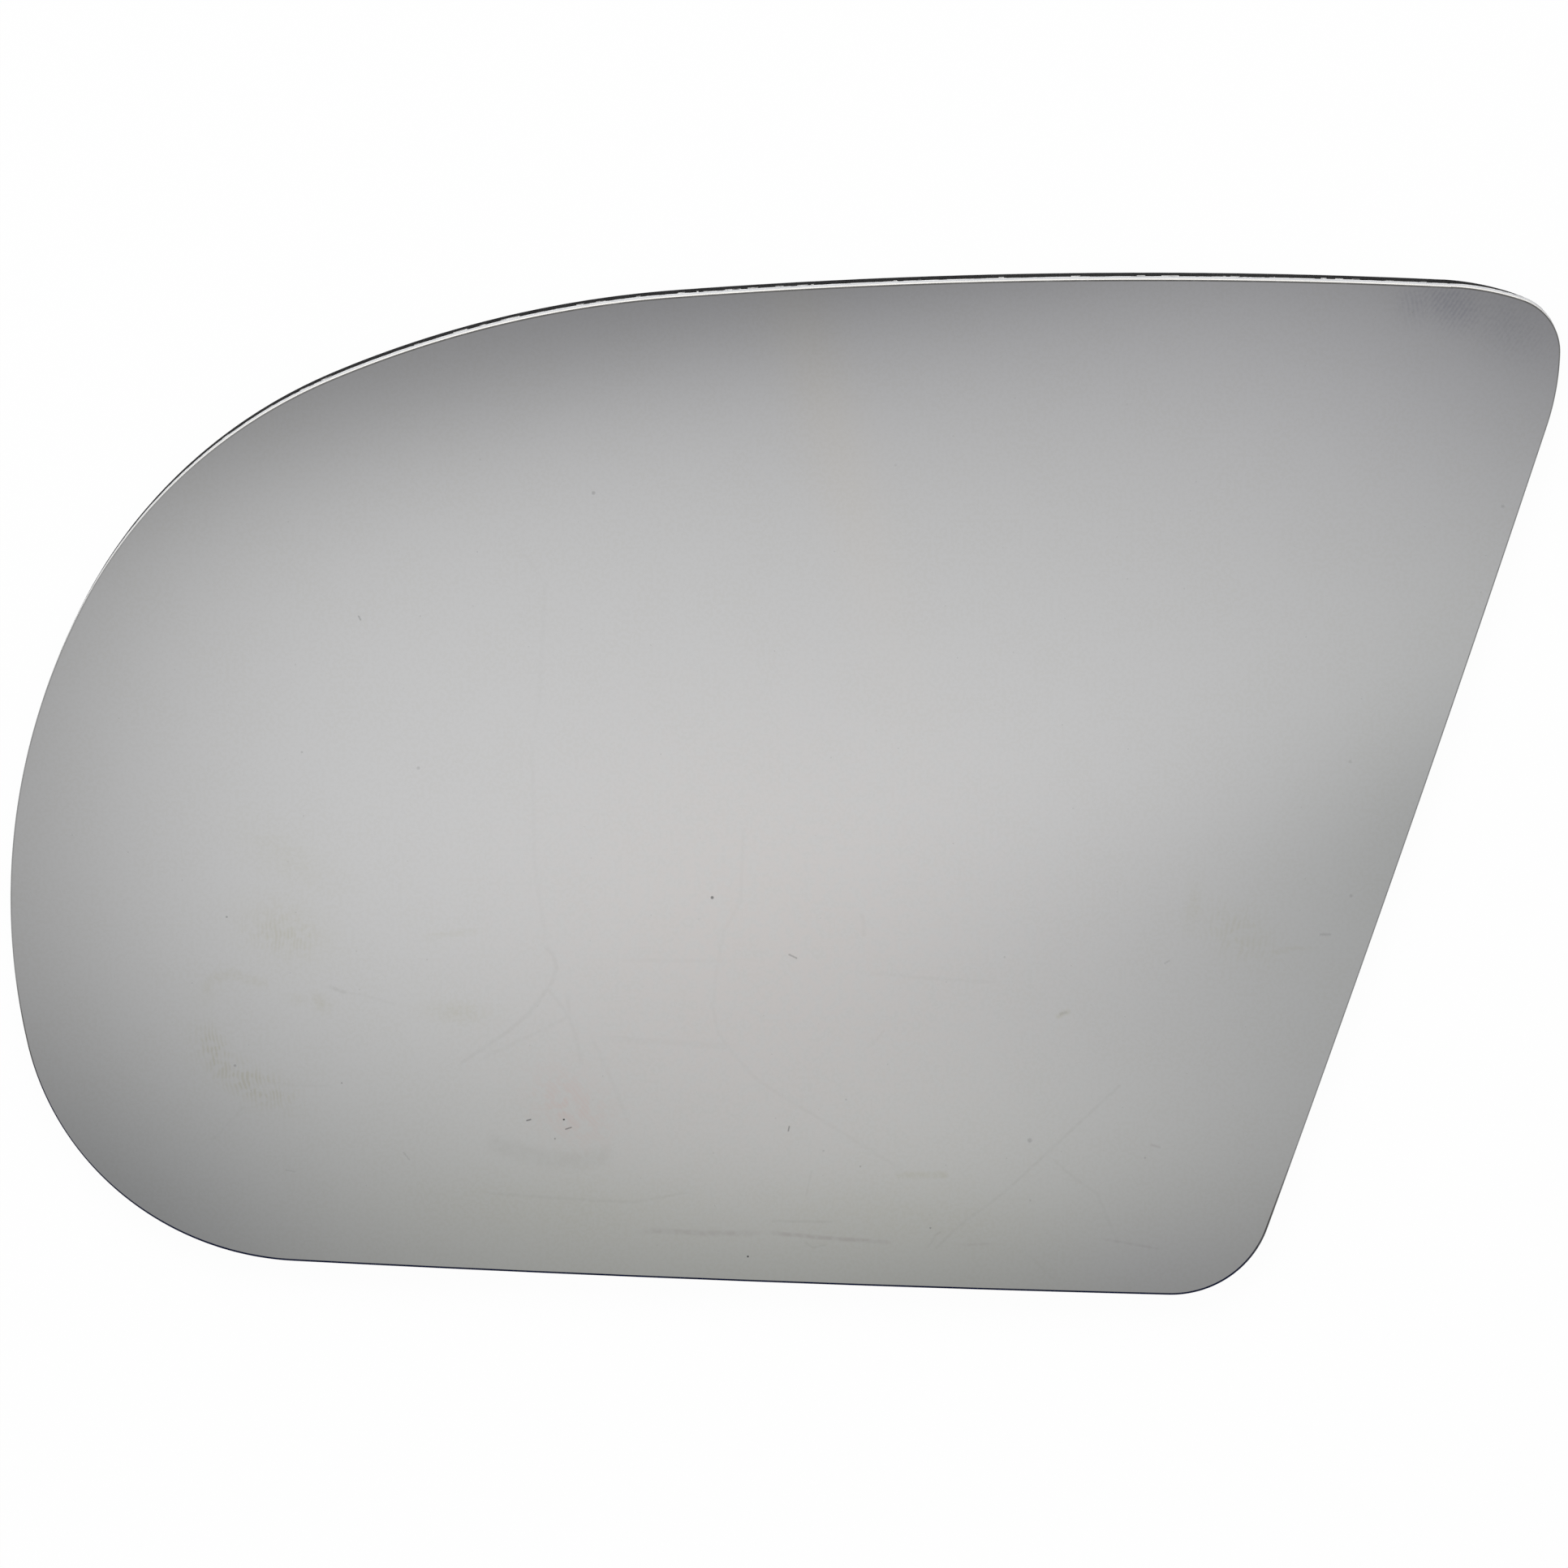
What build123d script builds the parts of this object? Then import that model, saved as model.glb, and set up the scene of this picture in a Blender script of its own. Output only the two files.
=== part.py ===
from build123d import *

import math
import os
from dataclasses import dataclass

# A flat glass for a car door mirror, with the black foam pad that sticks it to its carrier.
# It lies on the pad: +Z is the way the mirror faces, +X runs from the round end to the straight side,
# and +Y is up when the mirror is on a car. The origin is under the middle of the outline.
# Lengths are in millimetres and angles in degrees.

# Overall size of the outline
glass_width = 170.0
glass_height = 115.0

# The outline is a ring of eleven arcs, each tangent to the next. They run counter-clockwise from the top.
top_radius = 685.0
top_turn = 4.3  # from the highest point to the shoulder
shoulder_radius = 118.0
shoulder_turn = 18.9
upper_left_radius = 56.0
upper_left_turn = 40.0
left_radius = 74.0
lower_left_radius = 31.5
bottom_radius = 3500.0
bottom_fall = 1.5  # slope of the bottom side at the lower right corner
lower_right_radius = 11.2
right_radius = 3400.0
right_lean = 17.15  # lean of the right side at the upper right corner
ease_radius = 29.0  # of the arcs that ease the upper right corner into the right side and the top
upper_right_radius = 6.1
upper_right_from = -1.0  # the ways that the tight corner faces at its two ends
upper_right_to = 71.5

# Section
glass_thickness = 2.5
front_arris = 0.15  # leg of the small ground bevel that takes the sharpness off the cut edge
back_arris = 0.05
pad_thickness = 1.9

# The pad is cut a little smaller than the glass and stuck on level with its top.
pad_margin = 0.5
pad_corner_radius = 8.0  # of its upper right corner, before the margin is taken off

facing_up = 90.0
facing_down = -90.0
full_turn = 360.0


def toward(facing):
    """Unit vector that points this many degrees round from +X."""
    return Vector(1, 0).rotate(Axis.Z, facing)


def leg(hypotenuse, other_leg):
    """The second leg of a right triangle."""
    return math.sqrt(hypotenuse**2 - other_leg**2)


@dataclass(frozen=True)
class Round:
    """A circle that one arc of the outline lies on."""

    centre: Vector
    radius: float

    def touching(self, radius, facing):
        """The circle of this radius that runs on smoothly where the outline faces this way."""
        return Round(self.centre + toward(facing) * (self.radius - radius), radius)

    def facing_where_met(self, other):
        """The way the outline faces where this circle passes into another."""
        wider, tighter = (self, other) if self.radius > other.radius else (other, self)
        way = tighter.centre - wider.centre
        return math.degrees(math.atan2(way.Y, way.X))


def nested_in(first, second, radius):
    """The circle of this radius that touches two wider ones from inside, left of the way between them."""
    way = second.centre - first.centre
    reach = first.radius - radius
    other_reach = second.radius - radius
    along = (reach**2 - other_reach**2 + way.length**2) / (2 * way.length)
    ahead = way.normalized()
    aside = ahead.rotate(Axis.Z, facing_up)
    return Round(first.centre + ahead * along + aside * leg(reach, along), radius)


def outline_rounds(corner_radius):
    """The eleven circles of an outline with this upper right corner, and the middle of the box around it."""
    # The top and the round end follow on from the highest point, which is at zero here.
    shoulder_facing = facing_up + top_turn
    upper_left_facing = shoulder_facing + shoulder_turn
    left_facing = upper_left_facing + upper_left_turn
    top = Round(Vector(0, -top_radius), top_radius)
    shoulder = top.touching(shoulder_radius, shoulder_facing)
    upper_left = shoulder.touching(upper_left_radius, upper_left_facing)
    left = upper_left.touching(left_radius, left_facing)
    left_end = left.centre.X - left_radius

    # The upper right corner reaches the full width, eased into the top arc and the right arc.
    upper_right_x = left_end + glass_width - corner_radius
    top_ease_x = upper_right_x - toward(upper_right_to).X * (ease_radius - corner_radius)
    top_ease_y = top.centre.Y + leg(top_radius - ease_radius, top_ease_x - top.centre.X)
    top_ease = Round(Vector(top_ease_x, top_ease_y), ease_radius)
    upper_right = top_ease.touching(corner_radius, upper_right_to)
    right_ease = upper_right.touching(ease_radius, upper_right_from)
    right = right_ease.touching(right_radius, -right_lean)

    # The lower right corner reaches the full height, inside the right arc.
    lower_right_y = lower_right_radius - glass_height
    lower_right_x = right.centre.X + leg(right_radius - lower_right_radius, lower_right_y - right.centre.Y)
    lower_right = Round(Vector(lower_right_x, lower_right_y), lower_right_radius)
    bottom = lower_right.touching(bottom_radius, facing_down - bottom_fall)
    lower_left = nested_in(left, bottom, lower_left_radius)

    round_end = [top, shoulder, upper_left, left, lower_left]
    straight_side = [bottom, lower_right, right, right_ease, upper_right, top_ease]
    middle = Vector(left_end + glass_width / 2, -glass_height / 2)
    return round_end + straight_side, middle


def outline_face(corner_radius):
    """An outline with this upper right corner as a flat face, with the middle of its box at the origin."""
    rounds, middle = outline_rounds(corner_radius)
    arcs = []
    for index, circle in enumerate(rounds):
        before = rounds[index - 1]
        after = rounds[(index + 1) % len(rounds)]
        start = circle.facing_where_met(before)
        turn = (circle.facing_where_met(after) - start) % full_turn
        arcs.append(CenterArc(circle.centre, circle.radius, start, turn))
    return Pos(-middle) * make_face(arcs)


def foam_pad():
    """The black foam pad, die-cut a little smaller than the glass and stuck on level with its top."""
    cut = offset(outline_face(pad_corner_radius), -pad_margin)
    return extrude(Pos(0, pad_margin) * cut, pad_thickness)


def mirror_glass():
    """The glass plate on the pad, with a ground edge and an arris front and back."""
    glass = Pos(0, 0, pad_thickness) * extrude(outline_face(upper_right_radius), glass_thickness)
    glass = chamfer(glass.edges().group_by(Axis.Z)[-1], front_arris)
    return chamfer(glass.edges().group_by(Axis.Z)[0], back_arris)


nodes = {
    "mirror_glass": mirror_glass(),
    "foam_pad": foam_pad(),
}

os.makedirs("parts", exist_ok=True)
for name, solid in nodes.items():
    solid.label = name
    export_step(solid, f"parts/{name}.step")
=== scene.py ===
"""Looks of a flat car door mirror glass on its black foam pad, lying face up on a pale studio floor.

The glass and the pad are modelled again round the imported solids, finer than they are: the same ring of
arcs, with the ground arrises, the chipped back edge of the cut and the soft die-cut foam. All is in metres.
"""

import functools
import logging
import math
from dataclasses import dataclass, field, replace
from enum import Enum, IntEnum
from typing import Any, Iterable, Union

import bmesh
import bpy
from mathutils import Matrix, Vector, noise

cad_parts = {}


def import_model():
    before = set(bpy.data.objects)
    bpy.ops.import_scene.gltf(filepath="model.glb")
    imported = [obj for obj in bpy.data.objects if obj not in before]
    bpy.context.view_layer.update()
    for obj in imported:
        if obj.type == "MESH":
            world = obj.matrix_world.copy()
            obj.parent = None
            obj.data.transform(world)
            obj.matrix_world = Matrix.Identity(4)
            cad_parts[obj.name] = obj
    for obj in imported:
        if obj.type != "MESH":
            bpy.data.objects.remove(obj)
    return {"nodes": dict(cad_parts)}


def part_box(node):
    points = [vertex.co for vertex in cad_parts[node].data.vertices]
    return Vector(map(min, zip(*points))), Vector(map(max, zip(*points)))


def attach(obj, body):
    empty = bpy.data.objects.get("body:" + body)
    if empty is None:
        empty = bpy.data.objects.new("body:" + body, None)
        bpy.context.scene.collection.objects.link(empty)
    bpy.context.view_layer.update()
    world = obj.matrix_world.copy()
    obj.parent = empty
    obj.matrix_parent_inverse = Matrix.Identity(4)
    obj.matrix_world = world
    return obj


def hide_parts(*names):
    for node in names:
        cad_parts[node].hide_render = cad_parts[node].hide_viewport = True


log = logging.getLogger("mirror_glass")

MM = 0.001
GLASS_NODE = "mirror_glass"
PAD_NODE = "foam_pad"
BODY = "root"
PAD_CORNER = 7.4 * MM  # radius of the pad's upper right corner, before its margin is taken off
PAD_BULGE = 0.8  # share of the pad's margin that it is squeezed out by under the glass
ARC_SLACK = 0.04 * MM  # taken off all round, as room for the rounding of the spun arcs
SOFT_REACH = 3.5  # spreads from the middle of a soft spot to where it no longer shows
SPECK_EDGE = (1.5, 0.5)  # shares of a speck's radius between which it fades in
STROKE_EDGE = (1.7, 0.2)  # shares of a line's width between which it fades in
LEVEL = 0.999  # upward part of the normal from which a face counts as level
RIM_SLACK = 0.01 * MM  # how far from its height a vertex still counts as being there
AIM_X = 0.42 * MM  # where the camera looks, from the middle of the glass
AIM_Y = 1.09 * MM
FULL_TURN = 2 * math.pi
FACING_UP = math.pi / 2

Number = Union[int, float]
Colour = tuple[float, float, float, float]
Span = tuple[float, float]


def grey(level: float) -> Colour:
    """An opaque neutral colour of this linear level."""
    return (level, level, level, 1.0)


class Socket:
    """A node's output that takes part in sums: each operator adds one Math node to its graph."""

    def __init__(self, graph: "Graph", port: bpy.types.NodeSocket) -> None:
        """Keep the graph that the output belongs to."""
        self.graph = graph
        self.port = port

    def __add__(self, other: "Operand") -> "Socket":
        """Sum."""
        return self.graph.math("ADD", self, other)

    def __radd__(self, other: Number) -> "Socket":
        """Sum with a number first."""
        return self.graph.math("ADD", other, self)

    def __sub__(self, other: "Operand") -> "Socket":
        """Difference."""
        return self.graph.math("SUBTRACT", self, other)

    def __rsub__(self, other: Number) -> "Socket":
        """Difference from a number."""
        return self.graph.math("SUBTRACT", other, self)

    def __mul__(self, other: "Operand") -> "Socket":
        """Product."""
        return self.graph.math("MULTIPLY", self, other)

    def __rmul__(self, other: Number) -> "Socket":
        """Product with a number first."""
        return self.graph.math("MULTIPLY", other, self)

    def __truediv__(self, other: "Operand") -> "Socket":
        """Quotient."""
        return self.graph.math("DIVIDE", self, other)

    def highest(self, other: "Operand") -> "Socket":
        """The larger of two values."""
        return self.graph.math("MAXIMUM", self, other)

    def lowest(self, other: "Operand") -> "Socket":
        """The smaller of two values."""
        return self.graph.math("MINIMUM", self, other)

    def exponential(self) -> "Socket":
        """The constant e raised to this value."""
        return self.graph.math("EXPONENT", self)

    def sine(self) -> "Socket":
        """Sine of this angle."""
        return self.graph.math("SINE", self)

    def dot(self, way: Any) -> "Socket":
        """Dot product of this vector with another."""
        return self.graph.vector_math("DOT_PRODUCT", self, way)

    def distance(self, point: Any) -> "Socket":
        """How far this place is from a point."""
        return self.graph.vector_math("DISTANCE", self, point)

    def measured(self, centre: Vector, spread: Vector, turn: float) -> "Socket":
        """This place measured from a centre, along turned axes, in units of a spread.

        Args:
            centre: What it is measured from.
            spread: The length that counts as one, along each axis.
            turn: Angle of the first axis from +X.

        Returns:
            The measured place.
        """
        inputs = {"Vector": self, "Location": centre, "Rotation": (0.0, 0.0, turn), "Scale": spread}
        return self.graph.add("ShaderNodeMapping", {"vector_type": "TEXTURE"}, inputs)

    def eased(self, start: float, end: float) -> "Socket":
        """A smooth step from 0 at one value to 1 at another.

        Args:
            start: Value at which the step leaves 0.
            end: Value at which it reaches 1. It may be the lower of the two.

        Returns:
            The step.
        """
        return self._ranged("SMOOTHSTEP", start, end)

    def ramped(self, start: float, end: float) -> "Socket":
        """A straight climb from 0 at one value to 1 at another, held level beyond them."""
        return self._ranged("LINEAR", start, end)

    def _ranged(self, kind: str, start: float, end: float) -> "Socket":
        """Add a Map Range node that goes from 0 to 1."""
        bounds = {"From Min": start, "From Max": end, "To Min": 0.0, "To Max": 1.0}
        return self.graph.add("ShaderNodeMapRange", {"interpolation_type": kind}, {"Value": self, **bounds})


Operand = Union[Socket, Number]


class Graph:
    """The nodes of one material or of the world."""

    def __init__(self, tree: bpy.types.NodeTree) -> None:
        """Start from an empty tree."""
        self.tree = tree
        tree.nodes.clear()

    def add(
        self,
        kind: str,
        settings: dict[str, Any] | None = None,
        inputs: dict[str | int, Any] | None = None,
        output: str | int = 0,
    ) -> Socket:
        """Add any node.

        Args:
            kind: The node's type.
            settings: Its properties, set first.
            inputs: Values or sockets by the input's name or number.
            output: The output that is wanted.

        Returns:
            That output.
        """
        node = self.tree.nodes.new(kind)
        for name, value in (settings or {}).items():
            setattr(node, name, value)
        for name, value in (inputs or {}).items():
            if isinstance(value, Socket):
                self.tree.links.new(value.port, node.inputs[name])
            else:
                node.inputs[name].default_value = value
        return Socket(self, node.outputs[output] if node.outputs else None)

    def math(self, operation: str, first: Operand, second: Operand | None = None) -> Socket:
        """Add a Math node for one or two values."""
        inputs = {0: first} if second is None else {0: first, 1: second}
        return self.add("ShaderNodeMath", {"operation": operation}, inputs)

    def vector_math(self, operation: str, first: Any, second: Any) -> Socket:
        """Add a Vector Math node for two vectors, which gives a vector or a value."""
        output = "Value" if operation in ("DISTANCE", "DOT_PRODUCT") else "Vector"
        return self.add("ShaderNodeVectorMath", {"operation": operation}, {0: first, 1: second}, output)

    def times(self, vector: Any, factor: Socket) -> Socket:
        """A vector or colour times a value."""
        return self.add("ShaderNodeVectorMath", {"operation": "SCALE"}, {0: vector, "Scale": factor})

    def place(self) -> Socket:
        """The point on the piece, in metres."""
        return self.add("ShaderNodeTexCoord", output="Object")

    def flat_place(self) -> Socket:
        """The point on the piece as seen straight from above, in metres."""
        return self.vector_math("MULTIPLY", self.place(), (1.0, 1.0, 0.0))

    def part(self, vector: Socket, axis: str) -> Socket:
        """The part of a vector along X, Y or Z."""
        return self.add("ShaderNodeSeparateXYZ", None, {"Vector": vector}, axis)

    def scaled(self, place: Socket, scale: tuple[float, float, float]) -> Socket:
        """The place with each part multiplied, which squeezes a pattern along that axis."""
        return self.add("ShaderNodeMapping", {"vector_type": "POINT"}, {"Vector": place, "Scale": scale})

    def mix(self, factor: Operand, first: Any, second: Any) -> Socket:
        """Mix two colours.

        Args:
            factor: 0 gives the first colour and 1 the second.
            first: A colour or a socket.
            second: A colour or a socket.

        Returns:
            The mixed colour.
        """
        settings = {"data_type": "RGBA", "clamp_factor": True}
        return self.add("ShaderNodeMix", settings, {0: factor, 6: first, 7: second}, output=2)

    def noise(
        self,
        place: Socket,
        scale: float,
        detail: float,
        roughness: float = 0.5,
        spread: str = "3D",
    ) -> Socket:
        """A noise value about 0.5.

        Args:
            place: The point.
            scale: Cells to the metre.
            detail: How many finer layers are laid over the first.
            roughness: How much the finer layers count.
            spread: 3D, or 2D for a flat face, which takes less work.

        Returns:
            The value.
        """
        inputs = {"Vector": place, "Scale": scale, "Detail": detail, "Roughness": roughness}
        return self.add("ShaderNodeTexNoise", {"noise_dimensions": spread}, inputs)

    def cells(self, place: Socket, size: float, spread: str = "2D") -> tuple[Socket, Socket]:
        """Cells of about this size, each round a point of its own.

        Args:
            place: The point.
            size: How wide a cell is.
            spread: 2D, or 3D for cells that fill a solid.

        Returns:
            How far the place is from its cell's point, in cells, and the cell's chance value from 0 to 1.
        """
        inputs = {"Vector": place, "Scale": 1.0 / size, "Randomness": 1.0}
        away = self.add("ShaderNodeTexVoronoi", {"voronoi_dimensions": spread}, inputs, "Distance")
        colour = Socket(self, away.port.node.outputs["Color"])
        return away, self.add("ShaderNodeSeparateColor", None, {"Color": colour})

    def bump(self, height: Socket, strength: float, depth: float) -> Socket:
        """The normal of a surface with this relief, from 0 to 1 of a depth in metres."""
        inputs = {"Strength": strength, "Distance": depth, "Height": height}
        return self.add("ShaderNodeBump", None, inputs)

    def surface(self, shader: Socket) -> None:
        """Make this shader the one that shows.

        Args:
            shader: The shader's output.
        """
        world = isinstance(self.tree.id_data, bpy.types.World)
        kind = "ShaderNodeOutputWorld" if world else "ShaderNodeOutputMaterial"
        self.add(kind, None, {"Surface": shader})

    def dress(self, inputs: dict[str | int, Any]) -> None:
        """Show the general shader with these inputs."""
        self.surface(self.add("ShaderNodeBsdfPrincipled", None, inputs))


def new_material(name: str) -> tuple[bpy.types.Material, Graph]:
    """A new material with no nodes, and its graph.

    Args:
        name: Name of the material.

    Returns:
        The material and the graph.
    """
    material = bpy.data.materials.new(name)
    material.use_nodes = True
    return material, Graph(material.node_tree)


def on_face(x: float, y: float) -> Vector:
    """A place on the mirror face, given in millimetres from its middle."""
    return Vector((x, y, 0.0)) * MM


def sum_of(parts: Iterable[Socket]) -> Socket:
    """The sum of several values."""
    return functools.reduce(lambda total, part: total + part, parts)


def highest_of(parts: Iterable[Socket]) -> Operand:
    """The largest of several values, or 0 where there are none."""
    return functools.reduce(lambda most, part: part if most == 0.0 else most.highest(part), parts, 0.0)


def lowest_of(parts: Iterable[Socket]) -> Socket:
    """The smallest of several values."""
    return functools.reduce(lambda least, part: least.lowest(part), parts)


@dataclass(frozen=True)
class Extent:
    """A level rectangle on the mirror face, in millimetres."""

    left: float
    right: float
    bottom: float
    top: float

    def meets(self, other: "Extent") -> bool:
        """Whether two rectangles overlap."""
        across = self.left < other.right and other.left < self.right
        return across and self.bottom < other.top and other.bottom < self.top

    @classmethod
    def around(cls, points: Iterable[tuple[float, float]], spare: float) -> "Extent":
        """The rectangle that holds these points with some room to spare."""
        xs, ys = zip(*points)
        return cls(min(xs) - spare, max(xs) + spare, min(ys) - spare, max(ys) + spare)


@dataclass(frozen=True)
class Oval:
    """A soft oval spot where the mirror face shows it, in millimetres and degrees."""

    x: float
    y: float
    length: float
    width: float
    turn: float = 0.0

    def extent(self) -> Extent:
        """Where the spot shows."""
        return Extent.around([(self.x, self.y)], SOFT_REACH * max(self.length, self.width))

    def patch(self, place: Socket) -> Socket:
        """The spot: 1 in its middle, falling off as a bell in units of its length and width.

        Args:
            place: The point on the face.

        Returns:
            The spot.
        """
        spread = Vector((self.length * MM, self.width * MM, 1.0))
        measured = place.measured(on_face(self.x, self.y), spread, math.radians(self.turn))
        return (measured.dot(measured) * -0.5).exponential()


@dataclass(frozen=True)
class Smear(Oval):
    """A dab of grease with soft edges."""

    depth: float = 0.4

    def mask(self, place: Socket) -> Socket:
        """Where the dab lies, times how thick it is."""
        return self.patch(place) * self.depth


@dataclass(frozen=True)
class Speck:
    """A grain of grit or a pinhole in the silver, in millimetres."""

    x: float
    y: float
    radius: float
    depth: float

    def extent(self) -> Extent:
        """Where the speck shows."""
        return Extent.around([(self.x, self.y)], 2 * self.radius)

    def mask(self, place: Socket) -> Socket:
        """Where the speck lies, times how dark it is."""
        away = place.distance(on_face(self.x, self.y))
        return away.eased(*(self.radius * share * MM for share in SPECK_EDGE)) * self.depth


@dataclass(frozen=True)
class Stroke:
    """A thin line that is wiped or scored along a few straight runs, in millimetres."""

    points: tuple[tuple[float, float], ...]
    width: float
    depth: float
    fade: float = 0.0

    def extent(self) -> Extent:
        """Where the line shows."""
        return Extent.around(self.points, 2 * self.width)

    def mask(self, place: Socket) -> Socket:
        """Where the line lies, times how deep it is, fading over a share of its length at each end.

        Args:
            place: The point on the face.

        Returns:
            The mask.
        """
        corners = [on_face(*point) for point in self.points]
        away = lowest_of(self.away(place, *run) for run in zip(corners, corners[1:]))
        line = away.eased(*(self.width * share * MM for share in STROKE_EDGE)) * self.depth
        if self.fade == 0.0:
            return line
        share = self.share(place, corners[0], corners[-1] - corners[0])
        return line * share.eased(0.0, self.fade) * share.eased(1.0, 1.0 - self.fade)

    def share(self, place: Socket, start: Vector, way: Vector) -> Socket:
        """How far along a straight way the place lies, from 0 at its start to 1 at its end.

        Args:
            place: The point on the face.
            start: Where the way starts.
            way: From its start to its end.

        Returns:
            The share of the way.
        """
        measure = way / way.length_squared
        begin = start.dot(measure)
        return place.dot(measure).ramped(begin, begin + 1.0)

    def away(self, place: Socket, start: Vector, end: Vector) -> Socket:
        """How far the place lies from one straight run of the line.

        Args:
            place: The point on the face.
            start: Where the run starts.
            end: Where it ends.

        Returns:
            The distance.
        """
        way = end - start
        along = place.graph.times(way, self.share(place, start, way))
        return place.distance(place.graph.vector_math("ADD", along, start))


@dataclass(frozen=True)
class FingerPrint(Oval):
    """A finger print: an oval patch of ridges, broken where the skin didn't touch."""

    ridge_turn: float = 90.0
    ridge: float = 0.46
    body: float = 0.12
    depth: float = 0.8

    def ridges(self, place: Socket, bend: Socket) -> Socket:
        """The ridges' height from 0 to 1, as if the print had no end.

        Args:
            place: The point on the face.
            bend: How far the ridges wander, in ridges.

        Returns:
            The height.
        """
        spread = Vector((MM, self.ridge * MM, 1.0))
        measured = place.measured(on_face(self.x, self.y), spread, math.radians(self.ridge_turn))
        count = measured.dot((0.0, 1.0, 0.0))
        return ((count + bend) * FULL_TURN).sine() * 0.5 + 0.5

    def mask(self, place: Socket, bend: Socket, touch: Socket) -> Socket:
        """Where the ridges lie, times how thick the grease is.

        Args:
            place: The point on the face.
            bend: How far the ridges wander.
            touch: 1 where the skin touched and 0 where it didn't.

        Returns:
            The mask.
        """
        ridged = self.body + self.ridges(place, bend) * (1.0 - self.body)
        return self.patch(place) * ridged * touch * self.depth


class FacePanel(Enum):
    """The panels of the mirror face: each is finished apart, so that it carries only its own marks."""

    UPPER = Extent(-90.0, 90.0, 7.0, 60.0)
    LEFT = Extent(-90.0, -39.0, -60.0, 7.0)
    MIDDLE = Extent(-39.0, 27.0, -60.0, 7.0)
    RIGHT = Extent(27.0, 90.0, -60.0, 7.0)


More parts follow.
